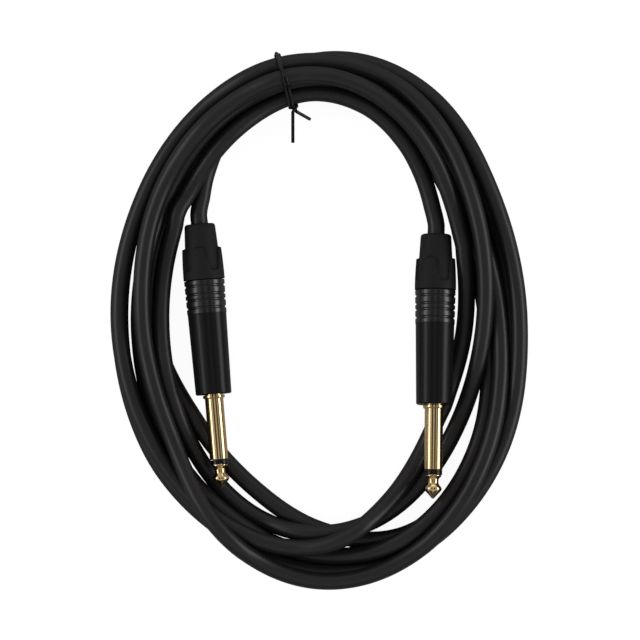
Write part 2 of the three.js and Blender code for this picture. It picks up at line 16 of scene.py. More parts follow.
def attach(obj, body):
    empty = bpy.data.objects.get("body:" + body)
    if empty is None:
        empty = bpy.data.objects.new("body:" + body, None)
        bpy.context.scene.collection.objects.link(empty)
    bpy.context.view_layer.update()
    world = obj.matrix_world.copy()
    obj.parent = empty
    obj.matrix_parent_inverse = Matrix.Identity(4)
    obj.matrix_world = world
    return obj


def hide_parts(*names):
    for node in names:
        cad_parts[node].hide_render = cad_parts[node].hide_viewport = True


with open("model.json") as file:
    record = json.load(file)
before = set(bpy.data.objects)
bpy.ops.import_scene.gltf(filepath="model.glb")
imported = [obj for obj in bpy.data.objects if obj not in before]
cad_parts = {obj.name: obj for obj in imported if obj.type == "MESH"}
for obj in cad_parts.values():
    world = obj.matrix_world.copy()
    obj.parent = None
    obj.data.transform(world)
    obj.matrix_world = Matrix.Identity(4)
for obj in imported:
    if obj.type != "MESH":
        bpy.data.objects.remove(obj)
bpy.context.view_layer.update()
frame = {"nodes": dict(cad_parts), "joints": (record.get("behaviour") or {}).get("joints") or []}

bl_info = {
    "name": "Instrument Cable",
    "version": (1, 0, 0),
    "blender": (4, 5, 0),
    "location": "3D View > Sidebar > Cable",
    "description": "Lays out, shapes and finishes a coiled instrument cable with two jack plugs",
    "category": "Object",
}

SIDES = ("left", "right")
MM = 0.001

# The middle of the coil's oval, on the surface.
COIL_MIDDLE = np.array([0.290634, 13.932252, 0]) * MM

# The lie of the cable at every hour of a clock face over the coil: offset out from the oval in mm,
# and the layer, 0 on the surface. A row is one loop; the first and last rows are part loops, and
# their outermost hours only give the slope there.
LIE = (
    ((-18, 0), (-0.8, 0)),
    ((7.5, 0), (9.4, 0), (6.4, 1), (7.2, 1), (9.6, 1), (8.1, 1),
     (5, 0), (2.6, 0), (6.3, 0), (7.7, 0), (7.6, 0), (5.8, 1)),
    ((1.6, 0.6), (2.6, 0), (3.8, 0), (4.4, 0), (6.6, 0), (2.3, 0),
     (-9.7, 0), (-15.1, 0), (-12.2, 0), (-3.4, 0), (-2.5, 0), (-3.2, 0.7)),
    ((-3.6, 0), (-5.3, 0), (-6.3, 0), (-3.9, 0), (1.7, 0.6), (2.6, 1),
     (-0.7, 0.7), (-2.2, 0.9), (0.6, 0.2), (0.9, 0.7), (0.5, 1), (0.5, 1.3)),
    ((1.1, 1.6), (-0.3, 1), (-2.3, 0.7), (0.4, 1), (5.3, 2), (8.2, 2),
     (7.8, 1), (3.3, 2.6), (-2.2, 1.2), (-0.3, 1.7), (2.5, 2), (2.3, 2.5)),
    ((1.7, 2.8), (-2.4, 2), (-7.6, 1.2), (-11.2, 0), (-14.4, 0), (-11.2, 0.9),
     (-4.3, 1.5), (0.2, 1.7), (4.8, 1), (7.8, 1), (7.4, 1.5), (7.1, 2)),
    ((6.9, 1.3), (4.8, 1), (-0.7, 1.7), (-4.8, 1.8), (-7.3, 0.3), (-8, 0),
     (-8.6, 0.8), (-7.5, 0), (-7, 0.7), (-6.6, 1), (-6.2, 1.2), (-5.6, 1.7)),
    ((-3.9, 1.3), (-7.7, 1.1), (-16.4, 0.8)),
)

# The cable's way from each boot to its loop: x and y from the coil's middle, and the height, in mm.
LEADS = {
    "left": ((-41.1, 40.6, 5.2), (-40.4, 45, 4.2), (-39.5, 49.8, 3.3), (-38, 54.6, 2.95),
             (-34.7, 62.4, 2.95)),
    "right": ((39.3, 36.4, 5.2), (38.4, 40.2, 5.3), (37.1, 44.8, 5.6), (35.5, 49.3, 6.2),
              (33.1, 54.6, 7.2), (30.1, 59.8, 8)),
}

# The tie's two ends, in mm: how far inward and clockwise of its twist they lie, and how high.
TIE_ENDS = ((11.5, -2.95, 2.5), (5.3, 4.6, 6))

# Places along a plug, in mm: the ends of the boot, of its spigot in the shell, and of the shell.
BOOT_MOUTH = -58.9
BOOT_BASE = -39.7
SPIGOT_END = BOOT_BASE + 6
SHELL_REAR = -39.4
GRIP_FRONT = -28.1

# The middles of the grip's grooves along a plug, in mm.
GROOVES = (-37.4, -34.6, -32.6, -29.9)

# The rounding of a boot's mouth, in mm; how far each boot is turned, in degrees; and the settings
# that its tree takes as inputs of the same names.
BOOT_LIP = 0.9
BOOT_TURN = {"left": 9, "right": 20}
BOOT_LENGTHS = ("length", "lobe_top", "lobe_foot", "step", "thread_pitch", "thread_depth")
BOOT_RADII = ("base", "shoulder", "neck", "mouth")

# A plug as five cones for the cable to keep off, in mm: place and radius at each end.
PLUG_CONES = ((-62.9, 5.25, -50.3, 6.75), (-54.3, 6.75, -39.7, 7.2), (-39.7, 7.2, 0, 6.3),
              (0, 4.45, 1.6, 4.45), (0, 3.175, 32.4, 3.175))

# Soft lamps: place and size in metres, and the place that they face.
LAMPS = {"key": ((-0.8, 0.1, 0.46), (0.9, 0.38)), "fill": ((0.84, 0, 0.34), (0.9, 0.34)),
         "back": ((0, 0.9, 0.16), (0.9, 0.1))}
LAMPS_FACE = Vector((0, 0.014, 0))

# Dark strips on an arch over the coil: how far each leans, in degrees, and its half width; the
# arch's radius and the strips' half length. All lengths are in metres.
DARK_STRIPS = ((-72, 0.085), (-15, 0.14), (19, 0.14), (45, 0.085))
ARCH_RADIUS = 0.85
STRIP_HALF_LENGTH = 0.5


# ---- Settings ----

def setting(prop, scale=None, **fixed):
    """A kind of setting. Its scale turns a default in mm or degrees into metres or radians."""
    return lambda name, description, default: prop(
        name=name, description=description, default=default * scale if scale else default, **fixed)


length = setting(bpy.props.FloatProperty, MM, unit="LENGTH")
angle = setting(bpy.props.FloatProperty, math.radians(1), subtype="ANGLE")
number = setting(bpy.props.FloatProperty)
count = setting(bpy.props.IntProperty, min=1)
colour = setting(bpy.props.FloatVectorProperty, size=3, subtype="COLOR", min=0, max=1)


class StageSettings(PropertyGroup):
    view_width: length("View width", "Width of the surface that the camera sees", 640 / 2.9)
    camera_height: length("Camera height", "Height of the camera over the surface", 1800)
    key_power: number("Key power", "Power of the soft light on the left, in watts", 2.3)
    fill_power: number("Fill power", "Power of the soft light on the right, in watts", 2.8)
    back_power: number("Back power", "Power of the low soft light behind, in watts", 0.2)
    ambient: number("Ambient", "Strength of the even light from all round", 0.42)
    floor_glow: number("Floor glow", "Share of the floor's white that no shadow takes away", 0.94)


class CableSettings(PropertyGroup):
    diameter: length("Diameter", "Outer diameter of the jacket", 5.9)
    half_width: length("Half width", "Half width of the oval that the loops follow", 61.4)
    half_length: length("Half length", "Half length of the oval that the loops follow", 82.1)
    rounds: count("Rounds", "Rounds over which the laid cable settles", 300)
    sides: count("Sides", "Sides of the round section", 24)
    colour: colour("Colour", "Colour of the jacket", (0.0162, 0.0142, 0.0150))
    roughness: number("Roughness", "Roughness of the jacket", 0.38)


class TieSettings(PropertyGroup):
    diameter: length("Diameter", "Diameter of the coated wire", 1.15)
    clock: angle("Clock angle", "Place of the tie round the coil, past twelve", -10)
    turns: count("Turns", "Times that the wire goes round the turns", 2)
    offset: length("Offset", "How far it lies clockwise of the clock angle", -0.9)
    slant: length("Slant", "How far the outer side lies anticlockwise of the middle", 0.65)
    twist_length: length("Twist length", "Length of the twist that closes the tie", 2)
    droop: angle("Droop", "How far the twist points down", 25)
    colour: colour("Colour", "Colour of the coating", (0.006, 0.006, 0.006))


class BootSettings(PropertyGroup):
    length: length("Length", "Length of the boot outside the shell", 19.2)
    mouth_diameter: length("Mouth diameter", "Diameter where the cable leaves it", 10.5)
    neck_diameter: length("Neck diameter", "Diameter at the base, under the lobes", 12.8)
    shoulder_diameter: length("Shoulder diameter", "Diameter over the tops of the lobes", 13.5)
    base_diameter: length("Base diameter", "Diameter next to the shell", 14.24)
    lobes: count("Lobes", "Lobes round the base", 4)
    lobe_top: length("Lobe top", "From the base to the arched tops of the lobes", 10.6)
    lobe_foot: length("Lobe foot", "From the base to the round feet of the hollows", 2.8)
    step: length("Step", "Length of the rounded step at the edge of a lobe", 0.5)
    thread_pitch: length("Thread pitch", "Pitch of the thread on the spigot", 1)
    thread_depth: length("Thread depth", "Depth of the thread on the spigot", 0.3)
    colour: colour("Colour", "Colour of the rubber", (0.0135, 0.0135, 0.0137))
    roughness: number("Roughness", "Roughness of the rubber", 0.62)


class ShellSettings(PropertyGroup):
    front_diameter: length("Front diameter", "Diameter at the nose", 12.6)
    rear_diameter: length("Rear diameter", "Diameter at the grip", 14)
    groove_depth: length("Groove depth", "Depth of the turned grooves", 0.4)
    groove_width: length("Groove width", "Width of the turned grooves", 0.85)
    colour: colour("Colour", "Colour of the black finish", (0.0085, 0.0085, 0.0087))
    roughness: number("Roughness", "Roughness of the black finish", 0.26)
    grip_roughness: number("Grip roughness", "Roughness of the worn grip", 0.25)


class NoseSettings(PropertyGroup):
    sleeve_diameter: length("Sleeve diameter", "Diameter of the barrel", 6.35)
    collar_diameter: length("Collar diameter", "Diameter of the collar at the shell", 7.5)
    neck_diameter: length("Neck diameter", "Least diameter behind the tip's ball", 3.6)
    ball_diameter: length("Ball diameter", "Diameter of the tip's ball", 5.9)
    gold: colour("Gold", "Colour of the plating", (0.92, 0.67, 0.35))
    roughness: number("Roughness", "Roughness of the plating", 0.1)
    insulator: colour("Insulator", "Colour of the ring behind the tip", (0.006, 0.006, 0.006))


class InsideSettings(PropertyGroup):
    plastic: colour("White plastic", "Colour of the collets and washers", (0.55, 0.53, 0.48))
    core: colour("Core", "Colour of the core wire's insulation", (0.62, 0.58, 0.5))
    tin: colour("Tin", "Colour of the solder lugs and the screen", (0.6, 0.61, 0.62))
    liner: colour("Liner", "Colour of the insulating liner", (0.42, 0.43, 0.45))


def group(settings, name, description):
    return bpy.props.PointerProperty(type=settings, name=name, description=description)


class CablePartSettings(PropertyGroup):
    stage: group(StageSettings, "Stage", "Camera and light")
    cable: group(CableSettings, "Cable", "The jacketed cable")
    tie: group(TieSettings, "Tie", "The wire tie")
    boot: group(BootSettings, "Boots", "The rubber boots")
    shell: group(ShellSettings, "Shells", "The plug shells")
    nose: group(NoseSettings, "Noses", "Sleeves and tips")
    inside: group(InsideSettings, "Insides", "Hidden pieces")


def radius(settings, name):
    """Half of a diameter in the settings, in mm."""
    return getattr(settings, name + "_diameter") / MM / 2


# ---- Nodes ----

def fill(tree, node, inputs):
    """Sets a node's inputs to values, or links them to terms, sockets or whole nodes."""
    for key, value in inputs.items():
        if isinstance(value, bpy.types.Node):
            value = value.outputs[0]
        elif isinstance(value, Term):
            value = value.socket
        if isinstance(value, bpy.types.NodeSocket):
            tree.links.new(value, node.inputs[key])
        else:
            node.inputs[key].default_value = value


def place(tree, kind, inputs=None, **options):
    """A new node with its options set and its inputs filled."""
    node = tree.nodes.new(kind)
    for name, value in options.items():
        setattr(node, name, value)
    fill(tree, node, inputs or {})
    return node


class Term:
    """A number in a node tree; arithmetic on it places Math nodes."""

    def __init__(self, tree, node, output=0):
        self.tree = tree
        self.socket = node.outputs[output]

    def maths(self, operation, *others, clamp=False):
        inputs = dict(enumerate((self, *others)))
        return Term(self.tree, place(
            self.tree, "ShaderNodeMath", inputs, operation=operation, use_clamp=clamp))

    __add__ = partialmethod(maths, "ADD")
    __sub__ = partialmethod(maths, "SUBTRACT")
    __mul__ = partialmethod(maths, "MULTIPLY")
    __truediv__ = partialmethod(maths, "DIVIDE")

    def clamped(self):
        return self.maths("ADD", 0.0, clamp=True)

    def smooth(self):
        """Eases from 0 to 1."""
        t = self.clamped()
        return t * t * (t * -2 + 3)

    def towards(self, start, end):
        """From the term start at 0 to end at 1."""
        return start + (start * -1 + end) * self


def new_group(name, family, inputs, outputs):
    """A node group with sockets of these types, and its inputs as terms."""
    tree = bpy.data.node_groups.new(name, family + "NodeTree")
    for in_out, sockets in (("INPUT", inputs), ("OUTPUT", outputs)):
        for key, kind in sockets.items():
            tree.interface.new_socket(key, in_out=in_out, socket_type="NodeSocket" + kind)
    source = tree.nodes.new("NodeGroupInput")
    return tree, {s.name: Term(tree, source, s.name) for s in source.outputs if s.name}


def built_once(name):
    """Decorates a function that builds a node group: its first use builds it for all others."""
    return lambda build: lambda: bpy.data.node_groups.get(name) or build(name)


def end_tree(tree, last, material):
    """Ends a geometry tree with smooth, real and finished faces."""
    shaded = place(tree, "GeometryNodeSetShadeSmooth", {"Geometry": last})
    real = place(tree, "GeometryNodeRealizeInstances", {"Geometry": shaded})
    finished = place(tree, "GeometryNodeSetMaterial", {"Geometry": real, "Material": material})
    place(tree, "NodeGroupOutput", {0: finished})
    return tree


def apply_tree(piece, tree, values):
    """Runs a geometry tree on a piece and gives the plain mesh that it makes."""
    modifier = piece.modifiers.new(tree.name, "NODES")
    modifier.node_group = tree
    for item in tree.interface.items_tree:
        if item.in_out == "INPUT" and item.name in values:
            modifier[item.identifier] = values[item.name]
    bpy.context.view_layer.update()
    depsgraph = bpy.context.evaluated_depsgraph_get()
    mesh = bpy.data.meshes.new_from_object(piece.evaluated_get(depsgraph))
    bpy.data.objects.remove(piece)
    return mesh


@built_once("Wire along a line")
def wire_tree(name):
    """Geometry Nodes: a round wire along the points of an open line, capped at its ends."""
    tree, given = new_group(
        name, "Geometry", {"Line": "Geometry", "Diameter": "Float", "Sides": "Int", "Steps": "Int",
                           "Material": "Material"}, {"Wire": "Geometry"})
    line = place(tree, "GeometryNodeMeshToCurve", {"Mesh": given["Line"]})
    smooth = place(tree, "GeometryNodeCurveSplineType", {"Curve": line}, spline_type="CATMULL_ROM")
    fine = place(tree, "GeometryNodeSetSplineResolution", {
        "Geometry": smooth, "Resolution": given["Steps"]})
    upright = place(tree, "GeometryNodeSetCurveNormal", {"Curve": fine}, mode="Z_UP")
    section = place(tree, "GeometryNodeCurvePrimitiveCircle", {
        "Resolution": given["Sides"], "Radius": given["Diameter"] * 0.5})
    tube = place(tree, "GeometryNodeCurveToMesh", {
        "Curve": upright, "Profile Curve": section, "Fill Caps": True})
    return end_tree(tree, tube, given["Material"])


@built_once("Boot lobes and thread")
def boot_tree(name):
    """Geometry Nodes: lobes round the base of a boot, and the thread round its spigot, in mm.

    The boot comes as a plain turned body whose points carry their angle, the row that they are in
    (0 to 1 up a lobe, to 2 over its edge, to 3 up the cone) and whether they are on the thread.
    """
    sizes = ("lobes", "turn", "lip", "rear", *BOOT_LENGTHS, *BOOT_RADII)
    inputs = {"Boot": "Geometry", **dict.fromkeys(sizes, "Float"), "Material": "Material"}
    tree, given = new_group(name, "Geometry", inputs, {"Boot": "Geometry"})
    turn, row, threaded = (
        Term(tree, place(tree, "GeometryNodeInputNamedAttribute", {"Name": key}, data_type="FLOAT"))
        for key in ("turn", "row", "threaded"))
    sine, cosine = turn.maths("SINE"), turn.maths("COSINE")

    # Along: the edge of the lobes waves between foot and top, and the rows share out the length.
    wave = ((turn - given["turn"]) * given["lobes"]).maths("COSINE")
    edge = (wave * 0.7 + 0.5).smooth().towards(given["lobe_foot"], given["lobe_top"])
    up, over, cone = row.clamped(), (row - 1).clamped(), (row - 2).clamped()
    beyond = given["length"] - (edge + given["step"]) - given["lip"]
    along = edge * up + given["step"] * over + beyond * cone

    # Around: the lobes lie on a wider cone than the rest and bulge by a little.
    raised = over.smooth() * -1 + 1
    high = (along / given["lobe_top"]).clamped().towards(given["base"], given["shoulder"])
    low = (along / given["length"]).towards(given["neck"], given["mouth"])
    bulge = up * (up * -1 + 1) * 0.35
    girth = raised.towards(low, high + bulge)
    outside = place(tree, "ShaderNodeCombineXYZ", {
        "X": girth * sine, "Y": given["rear"] - along, "Z": girth * cosine})
    on_outside = place(tree, "FunctionNodeCompare", {0: row, 1: -0.5}, operation="GREATER_THAN")
    lobed = place(tree, "GeometryNodeSetPosition", {
        "Geometry": given["Boot"], "Selection": on_outside, "Position": outside})

    # The thread is cut inward, a pitch along for each turn.
    here = place(tree, "ShaderNodeSeparateXYZ", {0: place(tree, "GeometryNodeInputPosition")})
    travel = Term(tree, here, "Y") / given["thread_pitch"] + turn / (2 * math.pi)
    cut = (travel.maths("PINGPONG", 0.5) * 2).smooth() * given["thread_depth"] * threaded * -1
    inward = place(tree, "ShaderNodeCombineXYZ", {"X": cut * sine, "Z": cut * cosine})
    threads = place(tree, "GeometryNodeSetPosition", {"Geometry": lobed, "Offset": inward})
    return end_tree(tree, threads, given["Material"])


# ---- Materials ----

PATTERN = {"Height": "Float", "Drift": "Float"}


@built_once("Moulded grain")
def grain_group(name):
    """Shader group: fine grain of a moulded or extruded surface, and slow cloudiness over it."""
    tree, given = new_group(name, "Shader", {"Scale": "Float"}, PATTERN)
    here = place(tree, "ShaderNodeTexCoord").outputs["Object"]
    fine = place(tree, "ShaderNodeTexNoise", {
        "Vector": here, "Scale": given["Scale"] * 2600, "Detail": 2, "Roughness": 0.6})
    pores = place(tree, "ShaderNodeTexVoronoi", {"Vector": here, "Scale": given["Scale"] * 1500})
    cloud = place(tree, "ShaderNodeTexNoise", {"Vector": here, "Scale": 60, "Detail": 3})
    height = Term(tree, fine) * 0.6 + Term(tree, pores, "Distance") * 0.4
    place(tree, "NodeGroupOutput", {"Height": height, "Drift": cloud})
    return tree


@built_once("Turning lines")
def turning_group(name):
    """Shader group: fine lines that a lathe leaves round a turned piece, off its UV map."""
    tree, given = new_group(name, "Shader", {"Scale": "Float"}, PATTERN)
    uv = place(tree, "ShaderNodeSeparateXYZ", {0: place(tree, "ShaderNodeUVMap", uv_map="UVMap")})
    turn, along = Term(tree, uv, "X") * (2 * math.pi), Term(tree, uv, "Y")
    where = place(tree, "ShaderNodeCombineXYZ", {
        "X": turn.maths("COSINE") * 0.3, "Y": along * given["Scale"],
        "Z": turn.maths("SINE") * 0.3})
    lines, streaks = (
        place(tree, "ShaderNodeTexNoise", {"Vector": where, "Scale": scale, "Detail": detail})
        for scale, detail in ((1, 3), (0.35, 2)))
    place(tree, "NodeGroupOutput", {"Height": lines, "Drift": streaks})
    return tree


# Of each finish: its pattern, the pattern's scale and the depth of its bump in mm, how far colour
# (as a share) and roughness drift, and the metallic and specular values.
FINISHES = {
    "cable jacket": (grain_group, 0.8, 0.012, 0.12, 0.05, 0, 0.5),
    "tie coating": (grain_group, 1.5, 0.002, 0.12, 0.05, 0, 0.3),
    "boot rubber": (grain_group, 0.5, 0.02, 0.12, 0.05, 0, 0.2),
    "insulator moulding": (grain_group, 1, 0.003, 0.12, 0.05, 0, 0.35),
    "white moulding": (grain_group, 0.6, 0.01, 0.04, 0.05, 0, 0.5),
    "core insulation": (grain_group, 0.8, 0.006, 0.05, 0.05, 0, 0.5),
    "liner sheet": (grain_group, 0.3, 0.004, 0.05, 0.05, 0, 0.5),
    "tin plate": (grain_group, 0.7, 0.006, 0.06, 0.05, 1, 0.5),
    "black shell finish": (turning_group, 9, 0.002, 0.1, 0.015, 0, 0.2),
    "black grip finish": (turning_group, 14, 0.0015, 0.1, 0.015, 0, 0.7),
    "gold plate": (turning_group, 8, 0.0003, 0.04, 0.03, 1, 0.5),
}


def finish(name, base, roughness, soft_rims=False):
    """The material of a finish, made at its first use."""
    material = bpy.data.materials.get(name)
    if material:
        return material
    pattern, scale, depth, tone, spread, metallic, specular = FINISHES[name]
    material = bpy.data.materials.new(name)
    material.use_nodes = True
    material.diffuse_color = (*base, 1)
    tree = material.node_tree
    marks = place(tree, "ShaderNodeGroup", {"Scale": scale}, node_tree=pattern())
    drift = Term(tree, marks, "Drift")
    darker, lighter = ([min(1, c * (1 + change)) for c in base] for change in (-tone, tone))
    shade = place(tree, "ShaderNodeMix", {
        "Factor": drift.clamped(), "A": (*darker, 1), "B": (*lighter, 1)}, data_type="RGBA")
    bump = place(tree, "ShaderNodeBump", {
        "Height": marks.outputs["Height"], "Distance": depth * MM})
    if soft_rims:
        facing = Term(tree, place(tree, "ShaderNodeLayerWeight", {"Blend": 0.5}), "Facing")
        specular = (facing * -1 + 1).maths("POWER", 1.2) * specular
    fill(tree, tree.nodes["Principled BSDF"], {
        "Base Color": shade.outputs["Result"], "Metallic": metallic,
        "Roughness": drift * (2 * spread) + (roughness - spread),
        "Specular IOR Level": specular, "Normal": bump})
    return material


# ---- Pieces ----

def new_piece(name, mesh, material=None):
    piece = bpy.data.objects.new(name, mesh)
    bpy.context.scene.collection.objects.link(piece)
    if material:
        mesh.materials.append(material)
    return piece


def stand_in(piece, body, slot, *nodes):
    """The piece rides on a body and stands for these CAD nodes."""
    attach(piece, body)
    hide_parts(*nodes)


def plug_frame(side):
    """The plug's own frame in the part: +Y to the tip, +Z up, millimetres from the shell's face."""
    joint = next(j for j in frame["joints"] if j["name"] == "boot_turn_" + side)
    way = -Vector(joint["axis"]).normalized()
    across = way.cross(Vector((0, 0, 1))).normalized()
    turned_to = Matrix((across, way, across.cross(way))).transposed().to_4x4()
    face = Vector(joint["pos_m"]) - way * BOOT_BASE * MM
    return Matrix.Translation(face) @ turned_to @ Matrix.Scale(MM, 4)


def rounded(corners):
    """A profile whose corners, given as place, radius and rounding, are drawn as arcs."""
    points = []
    for i, (s, r, *fillet) in enumerate(corners):
        if not fillet:
            points.append((s, r))
            continue
        here = np.array([s, r], float)
        before, after = (np.array(corners[k][:2], float) - here for k in (i - 1, i + 1))
        size = min(fillet[0], 0.49 * np.linalg.norm(before), 0.49 * np.linalg.norm(after))
        a = here + before / np.linalg.norm(before) * size
        b = here + after / np.linalg.norm(after) * size
        for t in np.linspace(0, 1, 5):
            points.append(tuple((1 - t) ** 2 * a + 2 * t * (1 - t) * here + t * t * b))
    return points


def turned_mesh(name, profile, segments, carried=None):
    """A body of revolution round +Y, with a UV map: turns across, and mm along the profile.

    The profile runs as a loop, or from pole to pole, where each pole is one vertex.
    """
    rows = len(profile)
    sizes = [segments if r else 1 for _, r in profile]
    first = np.cumsum([0, *sizes]).tolist()
    vertices = [(r * math.sin(turn), s, r * math.cos(turn))
                for (s, r), size in zip(profile, sizes)
                for turn in (2 * math.pi * j / segments for j in range(size))]
    run = np.r_[0, np.cumsum(np.hypot(*np.diff(np.array(profile), axis=0).T))]
    faces, uvs = [], []
    for i in range(rows if profile[0][1] else rows - 1):
        k = (i + 1) % rows
        here, there = run[i], run[k] if k else run[-1] + 1
        for j in range(segments):
            corners = [(i, j, here), (i, j + 1, here), (k, j + 1, there), (k, j, there)]
            if sizes[i] == 1:
                del corners[1]
            if sizes[k] == 1:
                del corners[2]
            faces.append([first[row] + at % segments % sizes[row] for row, at, _ in corners])
            uvs += [(at / segments, along) for _, at, along in corners]
    mesh = bpy.data.meshes.new(name)
    mesh.from_pydata(vertices, [], faces)
    uv_map = mesh.uv_layers.new(name="UVMap")
    uv_map.data.foreach_set("uv", np.array(uvs, np.float32).ravel())
    for key, values in (carried or {}).items():
        attribute = mesh.attributes.new(key, "FLOAT", "POINT")
        attribute.data.foreach_set("value", np.asarray(values, np.float32))
    return mesh


def seat(mesh, side, sharp=32):
    """Puts a plug's mesh in its place in the part, smooth but for edges over sharp degrees."""
    mesh.transform(plug_frame(side))
    mesh.shade_smooth()
    mesh.set_sharp_from_angle(angle=math.radians(sharp))
    mesh.update()
    return mesh


def turned_piece(name, corners, side, material, segments=96):
    """A turned piece of a plug, smooth round its corners."""
    name += "_" + side + "_turning"
    return new_piece(name, seat(turned_mesh(name, rounded(corners), segments), side), material)


# ---- Cable route ----

def through(points, share):
    """Points on an even spline through the given ones."""
    last = len(points) - 1
    at = last * np.asarray(share)
    i = np.minimum(np.floor(at).astype(int), last)
    w = (at - i)[:, None]
    before, here, after, beyond = (points[np.clip(i + k, 0, last)] for k in (-1, 0, 1, 2))
    v0, v1 = (after - before) / 2, (beyond - here) / 2
    return ((2 * here - 2 * after + v0 + v1) * w**3 + (3 * after - 3 * here - 2 * v0 - v1) * w**2
            + v0 * w + here)


class Route:
    """The cable's middle, from the left boot to the right one, laid by the table and settled."""

    step = 2.5  # degrees of oval between points
    lead_step = 3.1  # mm between points on a lead
    boot_gap = 0.15  # mm from a boot's mouth to the first point
    straights = (0, 2.2, 4.4)  # mm on from there, in line with the plug
    tie_room = 0.6  # mm of room that the tie has under the coil, besides its own thickness
    tie_reach = 12  # degrees over which the coil comes down from the tie
    plug_gap = 0.1  # mm between the cable and a plug that it passes
    yielding = np.array([0.3, 0.3, 1])  # turns that touch give way upward sooner than sideways
    watch = 1.35  # diameters within which turns are watched
    skip = 9  # nearest points along the cable, which don't push each other
    calm = 60  # last rounds, in which nothing sinks

    def __init__(self, settings, tie):
        self.diameter = settings.diameter / MM
        self.radius = settings.diameter / MM / 2
        self.half = np.array([settings.half_width, settings.half_length, 0]) / MM
        self.hours = np.array([hour for row in LIE for hour in row], float)
        self.first = -30 * (len(LIE[0]) - 1)
        self.last = self.first + 30 * (len(self.hours) - 3)
        self.tie_clock = math.degrees(tie.clock)
        self.tie_rise = tie.diameter / MM + self.tie_room
        self.plugs = {}
        for side in SIDES:
            matrix = np.array(plug_frame(side))
            self.plugs[side] = (matrix[:3, 3] - COIL_MIDDLE) / MM, matrix[:3, :3] / MM

    def on_oval(self, clock):
        """Points of the loops at clock degrees, which go on past 360 for each loop."""
        clock = np.atleast_1d(np.asarray(clock, float))
        lie = through(self.hours, (clock - self.first + 30) / (self.last - self.first + 60))
        turn = np.radians(clock)
        across = np.stack([np.sin(turn), np.cos(turn), 0 * turn], 1)
        out = across * self.half[[1, 0, 2]]
        out /= np.linalg.norm(out, axis=1)[:, None]
        points = across * self.half + out * lie[:, :1]
        points[:, 2] = self.radius + self.diameter * np.maximum(0, lie[:, 1])
        return points

    def lead(self, side, clock, next_clock):
        """From a boot's mouth, first in line with the plug, to the start of its loop."""
        face, axes = self.plugs[side]
        straight = [face + axes[:, 1] * (BOOT_MOUTH - self.boot_gap - on) for on in self.straights]
        way = np.array([*straight, *LEADS[side], *self.on_oval((clock, next_clock))])
        curve = through(way, np.linspace(0, 1 - 1 / (len(way) - 1), 900))
        run = np.r_[0, np.cumsum(np.linalg.norm(np.diff(curve, axis=0), axis=1))]
        even = np.linspace(0, run[-1], round(run[-1] / self.lead_step) + 1)[:-1]
        return np.stack([np.interp(even, run, curve[:, k]) for k in range(3)], 1)

    def lay(self):
        """The cable as the table has it; notes how far from the tie and how low it may be."""
        clocks = np.arange(self.first, self.last + 0.01, self.step)
        lead_in = self.lead("left", self.first, self.first + self.step)
        lead_out = self.lead("right", self.last, self.last - self.step)[::-1]
        clock = np.r_[[self.first] * len(lead_in), clocks, [self.last] * len(lead_out)]
        self.from_tie = (clock - self.tie_clock + 540) % 360 - 180
        self.floor = self.radius + self.tie_rise * np.exp(-((self.from_tie / self.tie_reach) ** 2))
        return np.vstack([lead_in, self.on_oval(clocks), lead_out])

    def clear_of_plugs(self, points):
        """Pushes the points that are too near to a plug straight out of it."""
        for face, axes in self.plugs.values():
            own = (points - face) @ axes
            for s0, r0, s1, r1 in PLUG_CONES:
                along = np.clip(own[:, 1], s0, s1)
                girth = r0 + (r1 - r0) * (along - s0) / (s1 - s0)
                from_axis = np.hypot(own[:, 0], own[:, 2])
                past = own[:, 1] - along
                off = np.maximum(0, from_axis - girth)
                clear = np.hypot(past, off)
                short = np.maximum(0, self.radius + self.plug_gap - clear)
                safe = np.maximum(clear, 1e-9)
                grown = np.where(clear > 0, off / safe, 1) * short
                own[:, ::2] *= (1 + grown / np.maximum(from_axis, 1e-9))[:, None]
                own[:, 1] += past / safe * short
            points = own @ axes.T + face
        return points

    def pushed_apart(self, points, one, other):
        """Moves both of each pair of points whose turns overlap."""
        apart = points[other] - points[one]
        distance = np.linalg.norm(apart, axis=1)
        close = distance < self.diameter
        apart, distance = apart[close], distance[close]
        give = (apart**2 * self.yielding).sum(1) / distance
        shove = apart * self.yielding * ((self.diameter - distance) / give / 2)[:, None]
        push, pushes = np.zeros_like(points), np.zeros(len(points))
        for who, sign in ((one, -1), (other, 1)):
            np.add.at(push, who[close], sign * shove)
            np.add.at(pushes, who[close], 1)
        return points + push / np.sqrt(np.maximum(1, pushes))[:, None]

    def settled(self, rounds):
        """Sinks the laid cable under its weight, while turns that touch push each other apart."""
        points = start = self.lay()
        from_end = np.minimum(np.arange(len(points)), np.arange(len(points))[::-1])
        free = (from_end > 2)[:, None]
        evening = np.where(from_end < 10, 0.45, 0.1)

        def bend(p):
            """How far each point lies off the middle of its neighbours."""
            return np.pad((p[:-2] + p[2:]) / 2 - p[1:-1], ((1, 1), (0, 0)))

        def taken(moved):
            """The moved points, none under the surface, and the cable's ends where they were."""
            moved[:, 2] = np.maximum(moved[:, 2], self.floor)
            return np.where(free, moved, points)

        natural = bend(start)
        for step in range(rounds):
            if step % 10 == 0:
                plan = points[:, None, :2] - points[None, :, :2]
                near = (plan**2).sum(2) < (self.watch * self.diameter) ** 2
                one, other = np.nonzero(np.triu(near, self.skip))
            sinking = step < rounds - self.calm
            bends = bend(points)
            home = 0.3 if sinking else 0.12
            moved = points.copy()
            moved[:, :2] += home * (start - points)[:, :2] + 0.15 * (bends - natural)[:, :2]
            moved[:, 2] += 0.3 * bends[:, 2] - 0.04 if sinking else evening * bends[:, 2]
            points = taken(moved)
            points = taken(self.clear_of_plugs(self.pushed_apart(points, one, other)))
        return points


